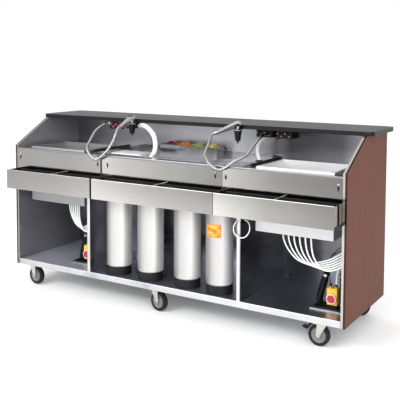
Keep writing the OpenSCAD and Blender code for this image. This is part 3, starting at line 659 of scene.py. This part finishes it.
def lathe_piece(name, profile, place, axis, material, body, sides=48, closed=False):
    """A turned piece: (radius, height) pairs about an axis from a place. A closed profile makes a ring."""
    axis = Vector(axis).normalized()
    side = axis.orthogonal().normalized()
    across = axis.cross(side)
    verts = [Vector(place) + height * axis + max(radius, 1e-5) * (
                 math.cos(2 * math.pi * k / sides) * side + math.sin(2 * math.pi * k / sides) * across)
             for radius, height in profile for k in range(sides)]
    rows = len(profile)
    faces = [(r * sides + k, r * sides + (k + 1) % sides,
              (r + 1) % rows * sides + (k + 1) % sides, (r + 1) % rows * sides + k)
             for r in range(rows if closed else rows - 1) for k in range(sides)]
    piece = place_mesh(name, verts, faces, material, body)
    face_outwards(piece)
    sharpen(piece, 35)
    return piece


def face_outwards(piece):
    mesh = bmesh.new()
    mesh.from_mesh(piece.data)
    bmesh.ops.recalc_face_normals(mesh, faces=mesh.faces)
    mesh.to_mesh(piece.data)
    mesh.free()


def sharpen(piece, degrees):
    """Smooth shading that stays crisp on edges sharper than an angle."""
    piece.data.set_sharp_from_angle(angle=math.radians(degrees))


def rounded_box(name, low, high, radius, material, body, segments=3):
    """A box with rounded edges between two corners."""
    mesh = bmesh.new()
    bmesh.ops.create_cube(mesh, size=1.0)
    low, high = Vector(low), Vector(high)
    size = high - low
    for vert in mesh.verts:
        vert.co = Vector(c * s for c, s in zip(vert.co, size)) + (low + high) / 2
    bmesh.ops.bevel(mesh, geom=mesh.edges[:], offset=radius, segments=segments, profile=0.5, affect="EDGES")
    verts = [v.co.copy() for v in mesh.verts]
    faces = [[v.index for v in f.verts] for f in mesh.faces]
    mesh.free()
    piece = place_mesh(name, verts, faces, material, body)
    sharpen(piece, 40)
    return piece


def strip_x(name, outline, x0, x1, material, body, degrees=30):
    """A folded strip: a closed outline in (y, z) run along X."""
    count = len(outline)
    verts = [(x, y, z) for x in (x0, x1) for y, z in outline]
    faces = [(i, (i + 1) % count, count + (i + 1) % count, count + i) for i in range(count)]
    faces += [tuple(range(count))[::-1], tuple(range(count, 2 * count))]
    piece = place_mesh(name, verts, faces, material, body)
    face_outwards(piece)
    sharpen(piece, degrees)
    return piece


def soften(names, width, segments=2):
    """Rounds the folded and cut edges of carried-over CAD nodes, as a modifier."""
    for name in names:
        node = NODES[name]
        weld = node.modifiers.new("weld", "WELD")
        weld.merge_threshold = 1e-5
        bevel = node.modifiers.new("edges", "BEVEL")
        bevel.width = width
        bevel.segments = segments
        bevel.limit_method = "ANGLE"
        bevel.angle_limit = math.radians(32)
        bevel.use_clamp_overlap = True


# ---------- speed rails ----------

RAILS = ("left", "center", "right")
SHEET = 0.002


def rail_liners():
    """Ribbed rubber mats lining the front, floor and back of each half of each trough."""
    thick, lip_gap, rib = 0.003, 0.004, 0.0012
    left_gap = 0.024
    for side in RAILS:
        low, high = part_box(f"speed_rail_{side}")
        y0, y1 = low.y + SHEET + 0.0002, high.y - SHEET - 0.0002
        z0 = low.z + SHEET + 0.0002
        top = z0 + 0.1224
        outline = [(y0, top), (y0, z0), (y1, z0), (y1, top), (y1 - thick, top), (y1 - thick, z0 + thick)]
        ribs = 12
        run = (y1 - y0 - 2 * thick) / ribs
        for k in range(ribs):
            y = y1 - thick - k * run
            outline += [(y - 0.3 * run, z0 + thick), (y - 0.4 * run, z0 + thick + rib),
                        (y - 0.7 * run, z0 + thick + rib), (y - 0.8 * run, z0 + thick)]
        outline += [(y0 + thick, z0 + thick), (y0 + thick, top)]
        middle = (low.x + high.x) / 2
        halves = ((low.x + left_gap, middle - lip_gap), (middle + lip_gap, high.x - lip_gap))
        for half, (x0, x1) in zip("ab", halves):
            strip_x(f"rail_mat_{side}_{half}", outline, x0, x1, "black_rubber", f"rail_{side}")


def rail_trim():
    """Rolled hems along the troughs' fronts and dividers, and rubber bumpers under their ends."""
    for side in RAILS:
        low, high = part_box(f"speed_rail_{side}")
        top = low.z + 0.127
        hem = [(low.y + 0.0002, top - 0.0004), (low.y + 0.0006, top + 0.0016), (low.y + 0.0018, top + 0.0026),
               (low.y + 0.0024, top + 0.0024), (low.y + 0.0032, top + 0.0012), (low.y + 0.0034, top - 0.0004)]
        strip_x(f"rail_hem_{side}", hem, low.x + 0.001, high.x - 0.001, "bright_edge", f"rail_{side}", 70)
        middle = (low.x + high.x) / 2
        rounded_box(f"rail_divider_cap_{side}", (middle - 0.0025, low.y + 0.007, top - 0.0085),
                    (middle + 0.0025, high.y - 0.003, top - 0.0045), 0.0012, "bright_edge", f"rail_{side}")
        for end, x in (("a", low.x), ("b", high.x)):
            out = -1 if end == "a" else 1
            rounded_box(f"rail_bumper_{side}_{end}", (min(x, x + out * 0.002), low.y + 0.006, low.z + 0.001),
                        (max(x, x + out * 0.002), low.y + 0.104, low.z + 0.017), 0.0008, "black_rubber",
                        f"rail_{side}")


def shade_behind_plates():
    """Dark sheets on the apron: painted shade seen through the keyholes and in the gap between two plates."""
    y0, y1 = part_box("work_deck")[0].y - 0.0008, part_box("work_deck")[0].y - 0.0001
    for i, x in enumerate(stud_places()):
        rounded_box(f"keyhole_shade_{i + 1}", (x - 0.012, y0, 0.888), (x + 0.012, y1, 0.938), 0.0003,
                    "button_black", "bar", 1)
    left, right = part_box("speed_rail_left")[1].x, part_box("speed_rail_center")[0].x
    rounded_box("plate_gap_shade", (left + 0.001, y0, 0.862), (right - 0.001, y1, 0.962), 0.0003,
                "button_black", "bar", 1)


# ---------- screws ----------

SCREW_PROFILE = [(0.0, 1.0), (0.3, 0.97), (0.55, 0.86), (0.8, 0.62), (0.95, 0.3), (1.0, 0.0)]


def screw_head(name, place, axis, radius, body):
    """A domed screw head with a cross recess, its dark inside drawn as a black cross of painted shade."""
    dome = [(r * radius, h * radius * 0.45) for r, h in SCREW_PROFILE]
    head = lathe_piece(name, dome, place, axis, "zinc", body, sides=24)
    axis = Vector(axis).normalized()
    side = axis.orthogonal().normalized()
    across = axis.cross(side)
    top = Vector(place) + axis * radius * 0.455
    arm, half = radius * 0.55, radius * 0.1
    # The recess: two black boxes, painted shade in the cross
    for k, (u, v) in enumerate(((side, across), (across, side))):
        verts = [top + a * arm * u + b * half * v for a, b in ((-1, -1), (1, -1), (1, 1), (-1, 1))]
        verts += [p - axis * radius * 0.2 for p in verts]
        slot = place_mesh(f"{name}_slot_{k + 1}", verts,
                          [(0, 1, 2, 3), (7, 6, 5, 4), (0, 4, 5, 1), (1, 5, 6, 2), (2, 6, 7, 3),
                           (3, 7, 4, 0)],
                          "button_black", body, smooth=False)
        slot.parent = head
        slot.matrix_parent_inverse = head.matrix_world.inverted()


def stud_places():
    """Where along the bar the rails' studs stand."""
    places = []
    for side in ("left", "right"):
        low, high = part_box(f"speed_rail_{side}")
        places += [low.x + 0.022, high.x - 0.022]
    middle = (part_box("speed_rail_center")[0].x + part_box("speed_rail_center")[1].x) / 2
    return places + [middle - 0.403, middle + 0.403]


def case_screws():
    low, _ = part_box("rail_studs")
    for i, x in enumerate(stud_places()):
        screw_head(f"rail_screw_{i + 1}", (x, low.y, 0.930), (0, -1, 0), 0.007, "bar")
    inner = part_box("side_panel_right")[0].x - 0.0015
    for side, sign in (("left", -1), ("right", 1)):
        spots = [(-0.27, 0.985), (-0.19, 1.03), (-0.08, 1.09), (0.02, 1.145), (-0.295, 0.86), (-0.295, 0.62),
                 (-0.295, 0.40), (-0.295, 0.21)]
        for i, (y, z) in enumerate(spots):
            screw_head(f"liner_screw_{side}_{i + 1}", (sign * inner, y, z), (-sign, 0, 0), 0.005, "bar")


# ---------- casters ----------

TYRE_PROFILE = [
    (0.0435, -0.0150), (0.0480, -0.0170), (0.0545, -0.0180), (0.0595, -0.0165), (0.0618, -0.0130),
    (0.0625, -0.0060), (0.0622, -0.0056), (0.0622, -0.0044), (0.0625, -0.0040), (0.0625, 0.0040),
    (0.0622, 0.0044), (0.0622, 0.0056), (0.0625, 0.0060), (0.0618, 0.0130), (0.0595, 0.0165),
    (0.0545, 0.0180), (0.0480, 0.0170), (0.0435, 0.0150)]
HUB_PROFILE = [
    (0.0052, -0.0195), (0.0120, -0.0195), (0.0135, -0.0180), (0.0145, -0.0120), (0.0220, -0.0085),
    (0.0340, -0.0090), (0.0385, -0.0130), (0.0430, -0.0150), (0.0434, 0.0150), (0.0385, 0.0130),
    (0.0340, 0.0090), (0.0220, 0.0085), (0.0145, 0.0120), (0.0135, 0.0180), (0.0120, 0.0195),
    (0.0052, 0.0195)]


def make_wheels():
    """A rubber tyre on a grey hub for each caster, with nuts on its axle."""
    for joint in frame["joints"]:
        if not joint["name"].startswith("roll_"):
            continue
        spot = joint["name"].removeprefix("roll_")
        place, axis = joint["pos_m"], Vector(joint["axis"])
        tyre = lathe_piece(f"tyre_{spot}", TYRE_PROFILE, place, axis, "caster_tyre", joint["child"], 72, True)
        hub = lathe_piece(f"hub_{spot}", HUB_PROFILE, place, axis, "caster_hub", joint["child"], 48, True)
        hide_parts(f"caster_wheel_{spot}")
        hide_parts(f"caster_wheel_{spot}")
        for side, out in (("near", -1), ("far", 1)):
            nut = [(0.0001, 0.006), (0.0078, 0.006), (0.0086, 0.0052), (0.0086, 0.0)]
            start = Vector(place) + out * axis * 0.0251
            lathe_piece(f"axle_nut_{spot}_{side}", nut, start, out * axis, "zinc", joint["parent"], 6)


# ---------- soda system details ----------

def tank_details():
    """Rolled rings pressed into the tanks, and a plain sticker on one of them."""
    low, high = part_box("tank_shells")
    radius = 0.085
    centres = [-0.392, -0.139, 0.143, 0.375]
    y = (low.y + high.y) / 2
    for i, x in enumerate(centres):
        for k, z in enumerate((low.z + 0.075, high.z - 0.07)):
            ring = [(radius - 0.001, -0.004), (radius + 0.0006, -0.002), (radius + 0.0010, 0.0),
                    (radius + 0.0006, 0.002), (radius - 0.001, 0.004)]
            lathe_piece(f"tank_ring_{i + 1}_{k + 1}", ring, (x, y, z), (0, 0, 1), "tank_steel", "bar", 96)
    for name, inset, proud in (("border", 0.0, 0.0005), ("face", 0.005, 0.0009)):
        columns, rows = 24, 12
        margin = inset / radius
        width = math.radians(70) - 2 * margin
        verts = []
        for r in range(rows + 1):
            for c in range(columns + 1):
                angle = math.radians(-35) + margin + width * c / columns
                verts.append((centres[3] + (radius + proud) * math.sin(angle),
                              y - (radius + proud) * math.cos(angle),
                              0.533 + inset + (0.080 - 2 * inset) * r / rows))
        faces = [(r * (columns + 1) + c, r * (columns + 1) + c + 1,
                  (r + 1) * (columns + 1) + c + 1, (r + 1) * (columns + 1) + c)
                 for r in range(rows) for c in range(columns)]
        place_mesh(f"tank_sticker_{name}", verts, faces, f"sticker_{name}", "bar")


def ring_piece(name, place, axis, radius, width, height, material, body, sides=48):
    """A band that stands a little proud of a round surface, with rounded edges."""
    half = width / 2
    profile = [(radius, -half), (radius + 0.6 * height, -half), (radius + height, -0.6 * half),
               (radius + height, 0.6 * half), (radius + 0.6 * height, half), (radius, half)]
    return lathe_piece(name, profile, place, axis, material, body, sides, True)


def band_on(name, route, distance, radius, width, material):
    """A tie or clamp round a hose, some distance along its route."""
    path = resample(curve_through(route, 12), 0.002)
    i = min(round(distance / 0.002), len(path) - 2)
    ring_piece(name, path[i], path[i + 1] - path[i], radius, width, 0.0022, material, "bar")


def pump_details():
    """Badges, cooling fins, strain reliefs and grommets of the two soda pumps."""
    floor = 0.178
    motor_lean = math.radians(15)
    lean = Vector((math.sin(motor_lean), 0, math.cos(motor_lean)))
    for side, (wall_x, _, pump_x) in LINE_SIDES.items():
        face = (pump_x, -0.1535, 0.242)
        badge = [(0.0, 0.0016), (0.0225, 0.0016), (0.0235, 0.0012), (0.0238, 0.0)]
        lathe_piece(f"pump_badge_{side}", badge, face, (0, -1, 0), "signal_red", "bar")
        rim = [(0.0238, 0.0), (0.0242, 0.0018), (0.0272, 0.0018), (0.0280, 0.0010), (0.0282, 0.0)]
        lathe_piece(f"pump_badge_rim_{side}", rim, face, (0, -1, 0), "white_plastic", "bar", 48, True)
        for k, (dx, dz) in enumerate(((-0.024, 0.052), (0.026, 0.052), (-0.024, -0.028), (0.026, -0.028))):
            screw_head(f"pump_screw_{side}_{k + 1}", (pump_x + dx, -0.1425, 0.242 + dz), (0, -1, 0),
                       0.0032, "bar")
        base = Vector((pump_x - 0.106, -0.0705, floor + 0.016))
        for k in range(10):
            ring_piece(f"motor_fin_{side}_{k + 1}", base + (0.030 + 0.0125 * k) * lean, lean, 0.0189, 0.004,
                       0.0028, "black_plastic", "bar", 40)
        ring_piece(f"motor_label_{side}", base + 0.165 * lean, lean, 0.0190, 0.014, 0.0006, "zinc", "bar")
        can = Vector((pump_x + 0.049, -0.1125, floor))
        for k, height in enumerate((0.030, 0.196)):
            ring_piece(f"motor_can_band_{side}_{k + 1}", can + Vector((0, 0, height)), (0, 0, 1),
                       0.0129, 0.006, 0.0018, "zinc", "bar")
        relief = [(0.0001, 0.0), (0.0120, 0.0), (0.0115, 0.004), (0.0062, 0.007), (0.0034, 0.014),
                  (0.0026, 0.016)]
        lathe_piece(f"motor_relief_{side}", relief, base + 0.1795 * lean, lean, "black_rubber", "bar", 24)
        grommet = [(0.0026, -0.004), (0.0042, -0.002), (0.0075, 0.004), (0.0090, 0.0065), (0.0090, 0.0118)]
        for k, route in enumerate(wire_routes(wall_x, pump_x)):
            lathe_piece(f"wire_grommet_{side}_{k + 1}", grommet, route[-1], (1, 0, 0), "black_rubber",
                        "bar", 24)
        collar = [(0.0052, -0.001), (0.0085, 0.0), (0.0085, 0.012), (0.0066, 0.015), (0.0050, 0.016)]
        for k, dx in enumerate((-0.015, 0.019)):
            lathe_piece(f"pump_collar_{side}_{k + 1}", collar, (pump_x + dx, -0.122, floor + 0.1302),
                        (0, 0, 1), "button_black", "bar", 32)
        rounded_box(f"pump_tray_{side}", (pump_x - 0.118, -0.184, floor + 0.0003),
                    (pump_x + 0.088, -0.150, floor + 0.0065), 0.002, "galvanised", "bar")


# Each manifold block's ends along X and the place of its front
MANIFOLD_BLOCKS = ((-0.640, -0.545, 0.020), (-0.535, -0.440, 0.020), (0.470, 0.580, 0.095),
                   (0.612, 0.715, 0.095))


def manifold_details():
    """Coloured collars and steel barbs on the blocks that the guns' hoses come from, and the hoses' ties."""
    barb = [(0.0001, 0.020), (0.0030, 0.020), (0.0042, 0.016), (0.0034, 0.014), (0.0046, 0.010),
            (0.0038, 0.008), (0.0060, 0.004), (0.0060, 0.0)]
    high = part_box("manifolds")[1]
    for block, (x0, x1, y) in enumerate(MANIFOLD_BLOCKS):
        for k in range(4):
            x = x0 + (k + 0.5) * (x1 - x0) / 4
            z = high.z - (0.040 if k % 2 else 0.024)
            collar = "hose_pink" if x0 < 0 else "dark_red"
            ring_piece(f"manifold_collar_{block + 1}_{k + 1}", (x, y - 0.003, z), (0, -1, 0), 0.0061, 0.006,
                       0.0022, collar, "bar", 32)
            lathe_piece(f"manifold_barb_{block + 1}_{k + 1}", barb, (x, y, z), (0, -1, 0), "zinc", "bar", 24)
        for k, x in enumerate((x0 + 0.008, x1 - 0.008)):
            screw_head(f"manifold_screw_{block + 1}_{k + 1}", (x, y, high.z - 0.008), (0, -1, 0),
                       0.0035, "bar")
    ring_piece("manifold_link_collar", (0.596, 0.130, high.z - 0.061), (0, 0, 1), 0.0101, 0.014, 0.0016,
               "dark_red", "bar")
    for side, route in (("left", RISER_LEFT), ("right", RISER_RIGHT)):
        band_on(f"riser_clamp_{side}", route, 0.030, 0.0152, 0.014, "white_plastic")
        band_on(f"riser_tie_{side}", route, 0.260, 0.0152, 0.006, "white_plastic")
    for side, route in (("left", GUN_HOSE_LEFT), ("right", GUN_HOSE_RIGHT)):
        band_on(f"hose_end_{side}", route[::-1], 0.022, 0.0092, 0.022, "zinc")


# Each bar gun: the place of its nozzle, and its handle's turn, slope and roll in degrees
GUN_LENGTH = 0.175
GUNS = {"left": ((-0.412, -0.028, 1.204), (-85, 19, 12)), "right": ((0.403, -0.028, 1.196), (180, 21, 48))}


def gun_details():
    """A black inlay and ribs down each handle, a bezel round the buttons and a collar at the nozzle."""
    for side, (place, (turn, slope, roll)) in GUNS.items():
        handle = Matrix.Translation(place)
        for angle, axis in ((turn, "Z"), (slope, "Y"), (roll, "X")):
            handle = handle @ Matrix.Rotation(math.radians(angle), 4, axis)
        body = f"gun_{side}"
        parts = {
            "inlay": ((0.034, -0.0062, 0.0088), (GUN_LENGTH - 0.034, 0.0062, 0.0112)),
            "bezel_near": ((-0.011, -0.0162, 0.0122), (0.024, -0.0134, 0.0150)),
            "bezel_far": ((-0.011, 0.0134, 0.0122), (0.024, 0.0162, 0.0150)),
            "bezel_end": ((0.0212, -0.0134, 0.0112), (0.024, 0.0134, 0.0150))}
        for name, (low, high) in parts.items():
            piece = rounded_box(f"gun_{name}_{side}", low, high, 0.0009, "button_black", None)
            piece.data.transform(handle)
            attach(piece, body)
        for k, along in enumerate((0.062, 0.074, 0.086)):
            rib = [(0.0001, -0.0012), (0.0042, -0.0012), (0.0048, 0.0), (0.0042, 0.0012), (0.0001, 0.0012)]
            piece = lathe_piece(f"gun_rib_{side}_{k + 1}", rib, (along, 0, 0.0100), (1, 0, 0),
                                "gun_chrome", None, 24)
            piece.data.transform(handle)
            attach(piece, body)
        ring_piece(f"nozzle_collar_{side}", (place[0], place[1], place[2] - 0.024), (0, 0, 1), 0.0085, 0.008,
                   0.0030, "gun_chrome", body)


def holster_rings():
    """A chrome lip on each holster cup."""
    for side in ("left", "right"):
        gun = -0.412 if side == "left" else 0.403
        centre = (gun, -0.028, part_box("gun_holsters")[1].z - 0.005)
        rim = [(0.0265 + 0.0022 * math.cos(a), 0.0022 * math.sin(a) - 0.002)
               for a in (math.radians(30 * k) for k in range(12))]
        lathe_piece(f"holster_rim_{side}", rim, centre, (0, 0, 1), "gun_chrome", "bar", 64, True)


# ---------- garnish ----------

def cherry(name, place, radius):
    profile = [(0.0, 0.78), (0.12, 0.80), (0.35, 0.93), (0.6, 0.82), (0.88, 0.45), (1.0, 0.0),
               (0.9, -0.45), (0.6, -0.8), (0.25, -0.97), (0.0, -1.0)]
    lean = (random.uniform(-0.5, 0.5), random.uniform(-0.5, 0.5), 1)
    lathe_piece(name, [(r * radius, h * radius) for r, h in profile], place, lean, "cherry", "bar", 20)


def citrus_slice(name, place, radius, lean, flesh, rind):
    """Half a slice: segments of flesh inside a pale pith and a coloured rind."""
    axis = Vector(lean).normalized()
    side = axis.orthogonal().normalized()
    across = axis.cross(side)
    rings = (0.02, 0.3, 0.6, 0.82, 0.88, 0.97, 1.0)
    steps, thick = 28, 0.005
    verts, faces, slots = [], [], []
    for face in (1, -1):
        for ring in rings:
            for k in range(steps + 1):
                angle = math.pi * k / steps
                plump = 0.0 if k % 7 == 0 or ring > 0.85 else 0.0012
                height = face * ((thick / 2 if ring < 1.0 else thick / 3) + plump)
                verts.append(Vector(place) + height * axis
                             + radius * ring * (math.cos(angle) * side + math.sin(angle) * across))
    row, layer = steps + 1, len(rings) * (steps + 1)
    for r in range(len(rings) - 1):
        for k in range(steps):
            a = r * row + k
            faces += [(a, a + 1, a + row + 1, a + row),
                      (layer + a + row, layer + a + row + 1, layer + a + 1, layer + a)]
            slots += [0 if rings[r + 1] <= 0.85 else 1 if rings[r + 1] < 0.9 else 2] * 2
    edge = (len(rings) - 1) * row
    for k in range(steps):
        faces.append((edge + k, edge + k + 1, layer + edge + k + 1, layer + edge + k))
        slots.append(2)
    for r in range(len(rings) - 1):
        for k in (0, steps):
            a = r * row + k
            faces.append((a, a + row, layer + a + row, layer + a))
            slots.append(0 if rings[r + 1] <= 0.85 else 2)
    piece = place_mesh(name, verts, faces, flesh, "bar")
    for extra in ("citrus_pith", rind):
        piece.data.materials.append(MATERIALS[extra])
    piece.data.polygons.foreach_set("material_index", slots)
    face_outwards(piece)


def fill_pans():
    """Cherries and sliced citrus heaped in the four condiment pans."""
    low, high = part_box("condiment_pans")
    pitch = (high.x - low.x + 0.002) / 4
    kinds = ("cherry", "orange", "lime", "lemon")
    for pan, kind in enumerate(kinds):
        x0 = low.x + pan * pitch + 0.012
        x1 = x0 + pitch - 0.028
        y0, y1 = low.y + 0.012, high.y - 0.012
        for layer in range(3):
            z = high.z - 0.012 + layer * 0.009
            inset = 0.010 * layer
            count = (26 if kind == "cherry" else 9) - 2 * layer
            for k in range(count):
                place = (random.uniform(x0 + inset, x1 - inset), random.uniform(y0 + inset, y1 - inset),
                         z + random.uniform(-0.003, 0.003))
                name = f"{kind}_{layer + 1}_{k + 1}"
                if kind == "cherry":
                    cherry(name, place, random.uniform(0.0085, 0.0105))
                else:
                    lean = (random.uniform(-1, 1), random.uniform(-1, 1), random.uniform(0.5, 1.2))
                    citrus_slice(name, place, 0.026 if kind == "orange" else 0.021, lean,
                                 f"{kind}_flesh", f"{kind}_rind")


# ---------- stage ----------

def make_floor():
    surface = Surface("studio_floor", Roughness=0.6)
    tone = surface.noise((0.8, 0.8, 0.8), detail=3)
    surface.colour(surface.ramp(tone, [(0.3, 0.97), (0.7, 0.99)]))
    mesh = bpy.data.meshes.new("studio_floor")
    reach = 40.0
    corners = [(-reach, -reach, 0), (reach, -reach, 0), (reach, reach, 0), (-reach, reach, 0)]
    mesh.from_pydata(corners, [], [(0, 1, 2, 3)])
    mesh.materials.append(surface.material)
    floor = bpy.data.objects.new("studio_floor", mesh)
    bpy.context.scene.collection.objects.link(floor)


make_camera()
make_cords()
make_studio()
dress_nodes()
soften(("ice_bin_left", "ice_bin_right", "work_deck", "condiment_tray", "cutting_board"), 0.0015)
soften(("countertop", "center_well", "floor_pan"), 0.0012)
rail_liners()
rail_trim()
shade_behind_plates()
case_screws()
make_wheels()
tank_details()
pump_details()
manifold_details()
gun_details()
holster_rings()
fill_pans()
make_floor()
